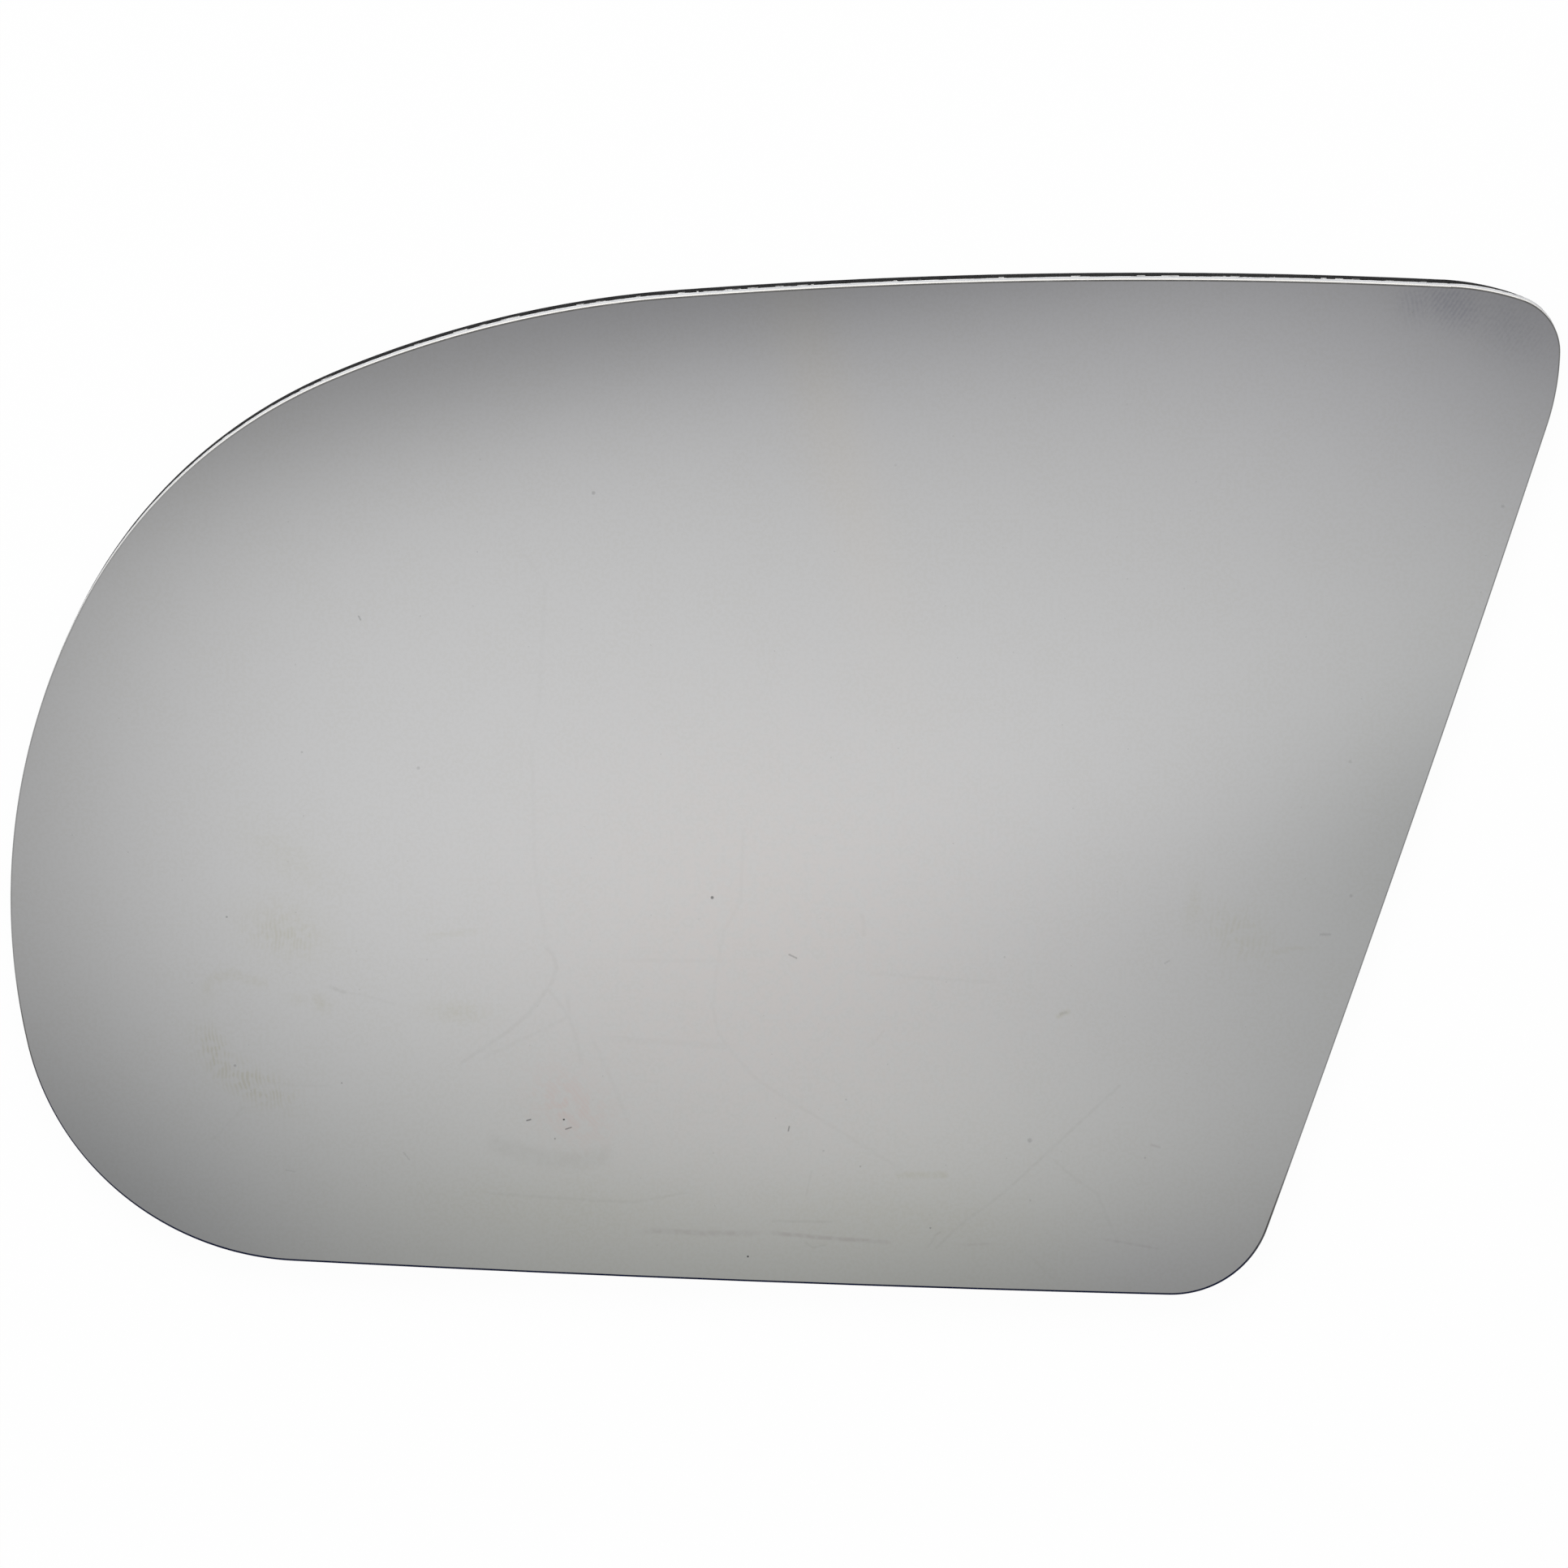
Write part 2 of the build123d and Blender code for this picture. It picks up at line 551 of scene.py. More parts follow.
@dataclass(frozen=True)
class MirrorFinish:
    """Silver seen through clear glass, handled, wiped and lightly scored."""

    silver: Colour = (0.846, 0.849, 0.847, 1.0)
    dulled: Colour = (0.833, 0.834, 0.829, 1.0)
    haze_rose: Colour = (0.872, 0.842, 0.830, 1.0)
    grease: Colour = (0.772, 0.764, 0.700, 1.0)
    rosy_grease: Colour = (0.860, 0.770, 0.750, 1.0)
    cool_grease: Colour = (0.680, 0.685, 0.715, 1.0)
    stain: Colour = (0.540, 0.480, 0.495, 1.0)
    score: Colour = (0.640, 0.640, 0.615, 1.0)
    grit: Colour = (0.03, 0.03, 0.03, 1.0)
    clean_roughness: float = 0.015
    haze: Smear = Smear(0.0, -18.0, 22.0, 18.0, 0.0, 0.7)
    smears: tuple[Smear, ...] = (
        Smear(-54.0, -7.5, 4.0, 1.8, -30.0, 0.35),
        Smear(-54.5, -15.2, 3.6, 2.4, -20.0, 0.42),
        Smear(-63.6, -23.2, 1.2, 1.0, 0.0, 0.20),
        Smear(-50.8, -23.8, 0.9, 0.6, -45.0, 0.65),
        Smear(-53.2, -23.4, 0.9, 0.5, -10.0, 0.35),
        Smear(-35.7, -24.9, 2.5, 0.8, -4.0, 0.55),
        Smear(45.6, -12.8, 1.8, 0.6, 80.0, 0.5),
        Smear(50.8, -16.2, 2.6, 1.8, -35.0, 0.18),
        Smear(-24.0, -47.5, 13.0, 2.6, -3.0, 0.30),
        Smear(13.0, -48.5, 11.0, 2.8, -3.0, 0.30),
    )
    wipes: tuple[Stroke, ...] = (
        Stroke(((-40.2, -16.3), (-32.4, -15.6)), 0.35, 0.35, 0.3),
        Stroke(((13.3, -43.6), (18.2, -43.6)), 0.4, 0.6),
        Stroke(((53.6, -18.3), (57.0, -17.5), (59.5, -17.7)), 0.3, 0.3, 0.2),
        Stroke(((30.8, -25.3), (31.8, -24.8)), 0.3, 0.7),
        Stroke(((-63.4, -22.0), (-63.0, -21.2), (-60.8, -20.4), (-57.2, -21.6)), 0.6, 0.38),
    )
    prints: tuple[FingerPrint, ...] = (
        FingerPrint(-62.6, -29.6, 2.2, 1.0, -65.0, 98.0, depth=1.4),
        FingerPrint(-58.8, -32.9, 3.4, 1.2, -28.0, 98.0, depth=1.4),
        FingerPrint(-55.0, -16.2, 3.0, 1.6, -18.0, 84.0, depth=0.55),
        FingerPrint(50.4, -15.9, 3.0, 1.9, -35.0, 80.0, 0.6, depth=0.5),
    )
    cool_prints: tuple[FingerPrint, ...] = (
        FingerPrint(69.2, 55.0, 1.3, 1.5, 0.0, 102.0, 0.5, body=0.45, depth=0.8),
        FingerPrint(73.0, 54.8, 2.6, 1.6, -25.0, 55.0, 0.44, body=0.4, depth=1.4),
        FingerPrint(79.0, 52.6, 3.6, 2.2, -35.0, 55.0, 0.44, body=0.5, depth=0.6),
    )
    rosy_prints: tuple[FingerPrint, ...] = (
        FingerPrint(-23.2, -35.7, 3.2, 2.2, -45.0, -48.0, 0.5, body=0.55, depth=0.9),
    )
    scratches: tuple[Stroke, ...] = (
        Stroke(((-30.3, 29.9), (-25.7, 23.6), (-26.4, 11.7), (-27.3, 4.9)), 0.26, 0.09, 0.2),
        Stroke(((-27.3, 6.5), (-27.1, -7.3), (-26.2, -14.6), (-25.9, -17.4)), 0.25, 0.09, 0.05),
        Stroke(((-25.9, -17.4), (-25.1, -18.3), (-24.7, -19.8), (-25.1, -21.2), (-26.2, -22.9)), 0.23, 0.20),
        Stroke(((-26.2, -22.9), (-27.9, -25.1), (-30.0, -27.0), (-32.6, -28.8), (-35.2, -30.6)), 0.23, 0.20),
        Stroke(((-23.6, -22.9), (-23.3, -25.3), (-25.3, -26.4), (-28.3, -27.9), (-32.7, -30.0)), 0.23, 0.13),
        Stroke(((-25.5, -22.4), (-23.4, -25.3), (-22.6, -27.7), (-22.0, -30.8)), 0.22, 0.13),
        Stroke(((-21.5, -26.4), (-19.9, -29.9), (-18.0, -34.3), (-16.5, -38.8)), 0.22, 0.12, 0.2),
        Stroke(((-21.1, -27.7), (-3.4, -29.0)), 0.36, 0.11, 0.2),
        Stroke(((-18.5, -18.9), (-4.2, -19.1)), 0.21, 0.10, 0.2),
        Stroke(((-4.0, -4.0), (-4.4, -12.2), (-6.3, -15.9), (-7.1, -20.7), (-7.5, -24.2)), 0.21, 0.10),
        Stroke(((-7.5, -24.2), (-6.9, -27.2), (-5.4, -29.4), (-2.5, -32.7), (13.4, -42.9)), 0.21, 0.12),
        Stroke(((8.5, -20.2), (16.6, -21.0), (25.5, -21.6)), 0.20, 0.13, 0.2),
        Stroke(((10.1, -28.7), (11.5, -27.0)), 0.15, 0.14),
        Stroke(((9.0, -13.8), (9.3, -14.8), (9.2, -16.0)), 0.24, 0.16),
        Stroke(((37.6, -33.3), (33.6, -37.2), (24.9, -45.6), (19.7, -49.6), (17.4, -52.0)), 0.17, 0.21),
        Stroke(((29.8, -41.3), (32.4, -43.7), (35.2, -45.7), (37.8, -52.0)), 0.18, 0.14, 0.1),
        Stroke(((26.8, -52.2), (31.1, -56.1)), 0.18, 0.12, 0.2),
        Stroke(((-63.6, -40.2), (-58.9, -35.1)), 0.16, 0.14, 0.2),
        Stroke(((-58.6, -33.0), (-48.7, -33.4)), 0.16, 0.10, 0.2),
        Stroke(((-0.8, -48.9), (5.6, -49.0)), 0.15, 0.28),
        Stroke(((2.8, -51.4), (3.7, -52.0), (4.9, -51.7)), 0.13, 0.30),
        Stroke(((16.5, -51.9), (17.3, -50.5), (17.8, -50.2)), 0.13, 0.3),
        Stroke(
            ((-33.7, -45.6), (-29.0, -45.9), (-20.9, -46.5), (-16.2, -46.7), (-8.7, -45.3)), 0.18, 0.18, 0.1
        ),
        Stroke(((2.9, -45.9), (3.5, -43.1)), 0.12, 0.2),
        Stroke(((-49.7, -22.0), (-48.2, -22.6)), 0.2, 0.38),
        Stroke(((-48.2, -22.6), (-45.7, -23.0), (-42.7, -24.0)), 0.17, 0.12),
        Stroke(
            ((-33.1, -39.6), (-30.2, -40.5), (-26.1, -41.7), (-22.0, -41.9), (-18.0, -41.1)), 1.0, 0.24, 0.12
        ),
    )
    stains: tuple[Stroke, ...] = (
        Stroke(((-16.9, -50.5), (-13.9, -50.0), (-8.7, -50.3), (-1.0, -50.3)), 0.30, 0.34, 0.25),
        Stroke(((-1.8, -50.2), (5.7, -50.9), (12.7, -51.4)), 0.22, 0.42, 0.1),
        Stroke(((19.7, -51.7), (23.8, -51.5)), 0.16, 0.18, 0.2),
        Stroke(((35.4, -50.9), (42.7, -52.2)), 0.14, 0.24, 0.2),
        Stroke(((41.2, -40.1), (42.1, -40.4)), 0.14, 0.30),
    )
    dashes: tuple[Stroke, ...] = (
        Stroke(((-46.2, 20.0), (-46.0, 19.6)), 0.09, 0.30),
        Stroke(((1.0, -18.3), (1.8, -18.7)), 0.10, 0.35),
        Stroke(((-28.1, -37.3), (-27.7, -37.2)), 0.09, 0.65),
        Stroke(((-23.8, -38.3), (-23.2, -38.1)), 0.08, 0.60),
        Stroke(((59.7, -16.0), (60.7, -16.0)), 0.16, 0.28),
        Stroke(((42.5, -19.3), (43.0, -19.0)), 0.10, 0.22),
        Stroke(((31.0, -25.1), (31.6, -24.9)), 0.16, 0.16),
        Stroke(((0.9, -38.5), (1.0, -38.0)), 0.08, 0.50),
        Stroke(((-41.8, -41.0), (-41.2, -41.8)), 0.10, 0.20),
        Stroke(((-54.9, -43.0), (-53.9, -43.2)), 0.10, 0.20),
    )
    specks: tuple[Speck, ...] = (
        Speck(-20.4, 33.8, 0.20, 0.26),
        Speck(-7.5, -11.8, 0.17, 0.62),
        Speck(-24.0, -37.2, 0.11, 0.95),
        Speck(-25.0, -39.4, 0.10, 0.50),
        Speck(-3.6, -53.0, 0.11, 1.00),
        Speck(-39.8, 2.9, 0.18, 0.20),
        Speck(62.7, 3.6, 0.18, 0.18),
        Speck(79.0, 32.3, 0.20, 0.22),
        Speck(-52.6, 4.7, 0.12, 0.22),
        Speck(-69.3, -41.0, 0.20, 0.18),
        Speck(27.7, -39.6, 0.26, 0.24),
        Speck(-61.1, -14.0, 0.11, 0.40),
        Speck(12.6, 36.9, 0.16, 0.12),
        Speck(63.0, -11.6, 0.20, 0.30),
        Speck(16.7, -49.7, 0.11, 0.50),
        Speck(-48.6, -33.0, 0.10, 0.40),
        Speck(4.8, -40.8, 0.12, 0.20),
        Speck(8.9, -42.6, 0.12, 0.25),
        Speck(40.5, -41.6, 0.12, 0.25),
        Speck(27.8, -46.5, 0.12, 0.20),
        Speck(7.3, -34.9, 0.12, 0.20),
        Speck(24.8, -18.6, 0.12, 0.18),
        Speck(-60.4, -31.0, 0.16, 0.35),
        Speck(68.5, 55.6, 0.12, 0.14),
        Speck(68.8, 53.9, 0.11, 0.26),
        Speck(70.2, 54.0, 0.11, 0.18),
        Speck(70.4, 55.0, 0.13, 0.14),
        Speck(71.8, 50.8, 0.11, 0.12),
        Speck(73.2, 49.5, 0.13, 0.13),
        Speck(74.1, 48.6, 0.11, 0.12),
        Speck(76.2, 47.9, 0.11, 0.14),
        Speck(79.1, 47.4, 0.11, 0.16),
    )
    dust_cell: float = 6.5 * MM
    dust_size: float = 0.018
    dust_depth: float = 0.16
    dust_shown: Span = (0.3, 1.0)

    # Patterns that break up the marks, in cells to the metre, and the values between which they come in
    wiped_grain: tuple[float, float, float] = (150.0, 900.0, 1.0)
    mottle_grain: float = 160.0
    fleck_grain: float = 2300.0
    bend_grain: float = 260.0
    touch_grain: float = 850.0
    flecked: Span = (0.42, 0.62)
    touched: Span = (0.36, 0.6)
    patched: Span = (0.4, 0.65)
    dulled_from: Span = (0.25, 0.7)
    untouched: float = 0.2
    ridge_bend: float = 2.6
    cool_bend: float = 0.2
    fleck_film: float = 0.08

    # What the patterns add to the dulling of the silver
    wiped_share: float = 0.25
    mottle_share: float = 0.4
    fleck_share: float = 0.35

    # How much of a mark is always there, and how much the skin's touch or the flecks add to it
    dab_even: float = 0.4
    dab_touch: float = 0.4
    dab_fleck: float = 0.25
    cool_even: float = 0.65
    cool_fleck: float = 0.35
    score_even: float = 0.45
    score_touch: float = 0.45
    stain_even: float = 0.25
    stain_touch: float = 0.55

    # What the marks take from the shine
    film_roughness: float = 0.05
    score_roughness: float = 0.08
    grit_roughness: float = 0.4
    grit_dulling: float = 0.6

    def dust(self, place: Socket) -> Socket:
        """Specks of dust strewn all over, each in its own cell, most of them too faint to see.

        Args:
            place: The point on the face.

        Returns:
            The mask.
        """
        away, chance = place.graph.cells(place, self.dust_cell)
        grain = away.eased(self.dust_size, self.dust_size * 0.5)
        return grain * chance.eased(*self.dust_shown) * self.dust_depth

    def build(self, panel: FacePanel) -> bpy.types.Material:
        """The material of one panel of the mirror face, with the marks that reach into it.

        Args:
            panel: The panel.

        Returns:
            The material.
        """
        material, graph = new_material(f"silvered_glass_{panel.name.lower()}")
        place = graph.flat_place()

        def total(marks: tuple[Any, ...], *skin: Socket) -> Operand:
            """The marks of one kind together, the strongest where they cross."""
            here = [mark for mark in marks if mark.extent().meets(panel.value)]
            return highest_of(mark.mask(place, *skin) for mark in here)

        def grain(scale: float, detail: float = 1.0, roughness: float = 0.5) -> Socket:
            """A noise over the flat face."""
            return graph.noise(place, scale, detail, roughness, "2D")

        wiped = graph.noise(graph.scaled(place, self.wiped_grain), 1.0, 3.0, 0.6, "2D")
        mottle = grain(self.mottle_grain, 4.0, 0.6)
        flecks = grain(self.fleck_grain).eased(*self.flecked)
        bend = grain(self.bend_grain) * self.ridge_bend
        touch = grain(self.touch_grain).eased(*self.touched) * (1.0 - self.untouched) + self.untouched
        patches = mottle.eased(*self.patched)
        broken = self.dab_even + touch * self.dab_touch + flecks * self.dab_fleck
        dabs = (total(self.smears) + total(self.wipes)) * broken
        film = (dabs + total(self.prints, bend, touch) + flecks * patches * self.fleck_film).lowest(1.0)
        scored = total(self.scratches) * (self.score_even + touch * self.score_touch)
        stained = total(self.stains) * (self.stain_even + touch * self.stain_touch)
        cool_touch = self.cool_even + flecks * self.cool_fleck
        grains = (total(self.specks) + total(self.dashes) + self.dust(place)).lowest(1.0)

        worn = wiped * self.wiped_share + mottle * self.mottle_share + flecks * self.fleck_share
        colour = graph.mix(worn.eased(*self.dulled_from), self.silver, self.dulled)
        colour = graph.mix(self.haze.mask(place) * touch, colour, self.haze_rose)
        colour = graph.mix(film, colour, self.grease)
        colour = graph.mix(total(self.rosy_prints, bend, touch), colour, self.rosy_grease)
        cool = total(self.cool_prints, bend * self.cool_bend, cool_touch)
        colour = graph.mix(cool, colour, self.cool_grease)
        colour = graph.mix(stained, colour, self.stain)
        colour = graph.mix(scored, colour, self.score)
        roughness = self.clean_roughness + film * self.film_roughness + scored * self.score_roughness
        graph.dress(
            {
                "Base Color": graph.mix(grains, colour, self.grit),
                "Metallic": 1.0 - grains * self.grit_dulling,
                "Roughness": roughness + grains * self.grit_roughness,
            }
        )
        return material


@dataclass(frozen=True)
class ArrisFinish:
    """The narrow front bevel, its colour painted by side to stand in for reflection and shade: pale at both
    ends, darker along the top, almost black along the bottom.
    """

    # Painted reflection and shade by side: pale at both ends, dark along the top and the bottom, and almost
    # black painted shade along the bottom
    pale: Colour = (0.270, 0.270, 0.270, 1.0)
    dark: Colour = (0.085, 0.083, 0.080, 1.0)
    bottom_painted_black_shade: Colour = (0.003, 0.006, 0.030, 1.0)
    worn: Colour = (0.200, 0.200, 0.200, 1.0)
    # Ways and reaches of the painted shade along the top and along the bottom
    top_painted_shade_way: tuple[float, float, float] = (-0.05, 1.0, 0.0)
    foot_painted_shade_way: tuple[float, float, float] = (0.15, 1.0, 0.0)
    top_painted_shade_reach: Span = (32.0 * MM, 55.0 * MM)
    foot_painted_shade_reach: Span = (-31.0 * MM, -41.0 * MM)
    bottom_painted_black_reach: Span = (-40.0 * MM, -48.0 * MM)
    pull_grain: float = 800.0
    worn_from: Span = (0.45, 0.8)
    worn_depth: float = 0.5
    roughness: float = 0.3
    pull_roughness: float = 0.2
    specular: float = 0.1

    def build(self) -> bpy.types.Material:
        """The material of the arris, with its painted side shading and the uneven pull of the grinding belt.

        Returns:
            The material.
        """
        material, graph = new_material("ground_arris")
        place = graph.place()
        pull = graph.noise(place, self.pull_grain, 3.0)
        # Painted reflection and shade: darker towards the top and the bottom, almost black along the bottom
        fall = place.dot(self.foot_painted_shade_way)
        painted_side_shade = place.dot(self.top_painted_shade_way).eased(*self.top_painted_shade_reach) + fall.eased(*self.foot_painted_shade_reach)
        shade = graph.mix(painted_side_shade, self.pale, self.dark)
        shade = graph.mix(pull.eased(*self.worn_from) * self.worn_depth, shade, self.worn)
        shade = graph.mix(fall.eased(*self.bottom_painted_black_reach), shade, self.bottom_painted_black_shade)
        graph.dress(
            {
                "Base Color": shade,
                "Roughness": self.roughness + pull * self.pull_roughness,
                "Specular IOR Level": self.specular,
            }
        )
        return material


@dataclass(frozen=True)
class GroundEdgeFinish:
    """The cut edge of the glass: frosted, cream in front and cooler behind, white above a dark foot that is
    backing paint and a painted shadow gap.

    The places of its bands are shares of its height, from 0 at the back to 1 at the front.
    """

    back: float
    front: float
    cream: Colour = (0.90, 0.88, 0.84, 1.0)
    frost: Colour = (0.60, 0.61, 0.63, 1.0)
    chip_white: Colour = (0.92, 0.92, 0.92, 1.0)
    # Backing paint and a painted shadow gap, almost black along the foot of the wall
    backing_and_painted_shadow: Colour = (0.012, 0.012, 0.014, 1.0)
    ground: Colour = (0.35, 0.35, 0.35, 1.0)
    cream_from: Span = (0.55, 0.72)
    white_from: Span = (0.34, 0.2)
    backing_and_shadow_share: float = 0.17
    backing_and_shadow_blur: float = 0.03
    wander_grain: float = 500.0
    wander: float = 0.12
    chip_size: float = 0.7 * MM
    chip_reach: float = 0.06
    chip_chance: Span = (0.45, 1.0)
    grind_grain: float = 1400.0
    grind_lines: float = 14.0
    ground_from: Span = (0.3, 0.8)
    ground_depth: float = 0.08
    relief: float = 0.05 * MM
    relief_strength: float = 0.35
    roughness: float = 0.45
    grind_roughness: float = 0.3
    specular: float = 0.15

    def build(self) -> bpy.types.Material:
        """The material of the ground edge.

        Returns:
            The material.
        """
        material, graph = new_material("ground_edge")
        place = graph.place()
        share = (graph.part(place, "Z") - self.back) / (self.front - self.back)
        level = share + (graph.noise(place, self.wander_grain, 2.0) - 0.5) * self.wander
        edge = graph.mix(level.eased(*self.cream_from), self.frost, self.cream)
        edge = graph.mix(level.eased(*self.white_from), edge, self.chip_white)
        chips = graph.cells(place, self.chip_size)[1].ramped(*self.chip_chance) * self.chip_reach
        # The dark foot: backing paint and a painted shadow gap
        foot = (chips + self.backing_and_shadow_share - share).ramped(0.0, self.backing_and_shadow_blur)
        edge = graph.mix(foot, edge, self.backing_and_painted_shadow)
        along = graph.scaled(place, (1.0, 1.0, self.grind_lines))
        grind = graph.noise(along, self.grind_grain, 4.0, 0.65)
        edge = graph.mix(grind.eased(*self.ground_from) * self.ground_depth, edge, self.ground)
        graph.dress(
            {
                "Base Color": edge,
                "Roughness": self.roughness + grind * self.grind_roughness,
                "Specular IOR Level": self.specular,
                "Normal": graph.bump(grind, self.relief_strength, self.relief),
            }
        )
        return material


@dataclass(frozen=True)
class FoamFinish:
    """Black closed-cell foam: matte, with fine cut cells, and crumbs of glass stuck along its upper edge."""

    bottom: float
    top: float
    black: Colour = (0.003, 0.003, 0.0035, 1.0)
    cell_rim: Colour = (0.011, 0.011, 0.012, 1.0)
    glass_dust: Colour = (0.72, 0.72, 0.71, 1.0)
    cell: float = 0.22 * MM
    rim_from: Span = (0.25, 0.75)
    rim_even: float = 0.4
    rim_shade: float = 0.8
    shade_grain: float = 300.0
    relief: float = 0.08 * MM
    relief_strength: float = 0.8
    roughness: float = 0.82
    rim_roughness: float = 0.15
    specular: float = 0.12
    crumb: float = 0.9 * MM
    crumb_chance: Span = (0.82, 0.96)
    crumb_reach: float = 0.14
    crumb_blur: float = 0.05

    def build(self) -> bpy.types.Material:
        """The material of the pad.

        Returns:
            The material.
        """
        material, graph = new_material("black_foam")
        place = graph.place()
        rims = graph.cells(place, self.cell, "3D")[0].eased(*self.rim_from)
        shade = graph.noise(place, self.shade_grain, 3.0)
        under = (self.top - graph.part(place, "Z")) / (self.top - self.bottom)
        chance = graph.cells(place, self.crumb)[1].ramped(*self.crumb_chance)
        crumbs = (chance * self.crumb_reach - under).ramped(0.0, self.crumb_blur)
        foam = graph.mix(rims * (self.rim_even + shade * self.rim_shade), self.black, self.cell_rim)
        graph.dress(
            {
                "Base Color": graph.mix(crumbs, foam, self.glass_dust),
                "Roughness": self.roughness + rims * self.rim_roughness,
                "Specular IOR Level": self.specular,
                "Normal": graph.bump(rims, self.relief_strength, self.relief),
            }
        )
        return material


@dataclass(frozen=True)
class Round:
    """A circle that one arc of the outline lies on."""

    centre: Vector
    radius: float

    def touching(self, radius: float, facing: float) -> "Round":
        """The circle of this radius that runs on smoothly where the outline faces this way."""
        return Round(self.centre + toward(facing) * (self.radius - radius), radius)

    def facing_where_met(self, other: "Round") -> float:
        """The way the outline faces where this circle passes into another.

        Args:
            other: The next circle or the last.

        Returns:
            The angle from +X.
        """
        wider, tighter = (self, other) if self.radius > other.radius else (other, self)
        way = tighter.centre - wider.centre
        return math.atan2(way.y, way.x)


def toward(facing: float) -> Vector:
    """Unit vector that points this far round from +X."""
    return Vector((math.cos(facing), math.sin(facing), 0.0))


def leg(hypotenuse: float, other_leg: float) -> float:
    """The second leg of a right triangle."""
    return math.sqrt(hypotenuse**2 - other_leg**2)


def nested_in(first: Round, second: Round, radius: float) -> Round:
    """The circle that touches two wider ones from inside, left of the way between them.

    Args:
        first: One of the wider circles.
        second: The other.
        radius: Radius of the circle that is wanted.

    Returns:
        The circle.
    """
    way = second.centre - first.centre
    reach = first.radius - radius
    other_reach = second.radius - radius
    along = (reach**2 - other_reach**2 + way.length_squared) / (2 * way.length)
    ahead = way.normalized()
    aside = Vector((-ahead.y, ahead.x, 0.0))
    return Round(first.centre + ahead * along + aside * leg(reach, along), radius)


@dataclass(frozen=True)
class Outline:
    """The ring of eleven tangent arcs that a piece is cut to, counter-clockwise from the top.

    A piece that is cut smaller by a margin is moved up by it, which keeps it level with the top.
    """

    width: float
    height: float
    margin: float = 0.0
    top_radius: float = 685.0 * MM
    top_turn: float = math.radians(4.3)
    shoulder_radius: float = 118.0 * MM
    shoulder_turn: float = math.radians(18.9)
    upper_left_radius: float = 56.0 * MM
    upper_left_turn: float = math.radians(40.0)
    left_radius: float = 74.0 * MM
    lower_left_radius: float = 31.5 * MM
    bottom_radius: float = 3500.0 * MM
    bottom_fall: float = math.radians(1.5)
    lower_right_radius: float = 11.2 * MM
    right_radius: float = 3400.0 * MM
    right_lean: float = math.radians(17.15)
    ease_radius: float = 29.0 * MM
    upper_right_radius: float = 6.1 * MM
    upper_right_from: float = math.radians(-1.0)
    upper_right_to: float = math.radians(71.5)
    step: float = 0.4 * MM

    def rounds(self) -> tuple[list[Round], Vector]:
        """The circles of the outline.

        Returns:
            The eleven circles in order, and the middle of the box around the outline.
        """
        shoulder_facing = FACING_UP + self.top_turn
        upper_left_facing = shoulder_facing + self.shoulder_turn
        left_facing = upper_left_facing + self.upper_left_turn
        top = Round(Vector((0.0, -self.top_radius, 0.0)), self.top_radius)
        shoulder = top.touching(self.shoulder_radius, shoulder_facing)
        upper_left = shoulder.touching(self.upper_left_radius, upper_left_facing)
        left = upper_left.touching(self.left_radius, left_facing)
        left_end = left.centre.x - self.left_radius

        corner_x = left_end + self.width - self.upper_right_radius
        ease_x = corner_x - toward(self.upper_right_to).x * (self.ease_radius - self.upper_right_radius)
        ease_y = top.centre.y + leg(self.top_radius - self.ease_radius, ease_x - top.centre.x)
        top_ease = Round(Vector((ease_x, ease_y, 0.0)), self.ease_radius)
        upper_right = top_ease.touching(self.upper_right_radius, self.upper_right_to)
        right_ease = upper_right.touching(self.ease_radius, self.upper_right_from)
        right = right_ease.touching(self.right_radius, -self.right_lean)

        foot_y = self.lower_right_radius - self.height
        foot_x = right.centre.x + leg(self.right_radius - self.lower_right_radius, foot_y - right.centre.y)
        lower_right = Round(Vector((foot_x, foot_y, 0.0)), self.lower_right_radius)
        bottom = lower_right.touching(self.bottom_radius, -FACING_UP - self.bottom_fall)
        lower_left = nested_in(left, bottom, self.lower_left_radius)

        round_end = [top, shoulder, upper_left, left, lower_left]
        straight_side = [bottom, lower_right, right, right_ease, upper_right, top_ease]
        rounds = [Round(circle.centre, circle.radius - self.margin) for circle in round_end + straight_side]
        return rounds, Vector((left_end + self.width / 2, -self.height / 2 - self.margin, 0.0))

    def fill(self, mesh: bmesh.types.BMesh, level: float) -> bmesh.types.BMFace:
        """Draw the ring by spinning a point round each circle in turn, and fill it.

        Args:
            mesh: The mesh to draw in.
            level: Height of the ring.

        Returns:
            The filled face.
        """
        rounds, middle = self.rounds()
        lift = Vector((0.0, 0.0, level)) - middle
        begin = rounds[0].facing_where_met(rounds[-1])
        start = rounds[0].centre + toward(begin) * rounds[0].radius + lift
        tip = bmesh.ops.create_vert(mesh, co=start)["vert"][0]
        for index, circle in enumerate(rounds):
            facing = circle.facing_where_met(rounds[index - 1])
            turn = (circle.facing_where_met(rounds[(index + 1) % len(rounds)]) - facing) % FULL_TURN
            spun = bmesh.ops.spin(
                mesh,
                geom=[tip],
                cent=circle.centre + lift,
                axis=(0.0, 0.0, 1.0),
                angle=turn,
                steps=max(2, round(turn * circle.radius / self.step)),
            )
            tip = next(item for item in spun["geom_last"] if isinstance(item, bmesh.types.BMVert))
        bmesh.ops.remove_doubles(mesh, verts=mesh.verts[:], dist=self.step / 20)
        return bmesh.ops.contextual_create(mesh, geom=mesh.edges[:])["faces"][0]


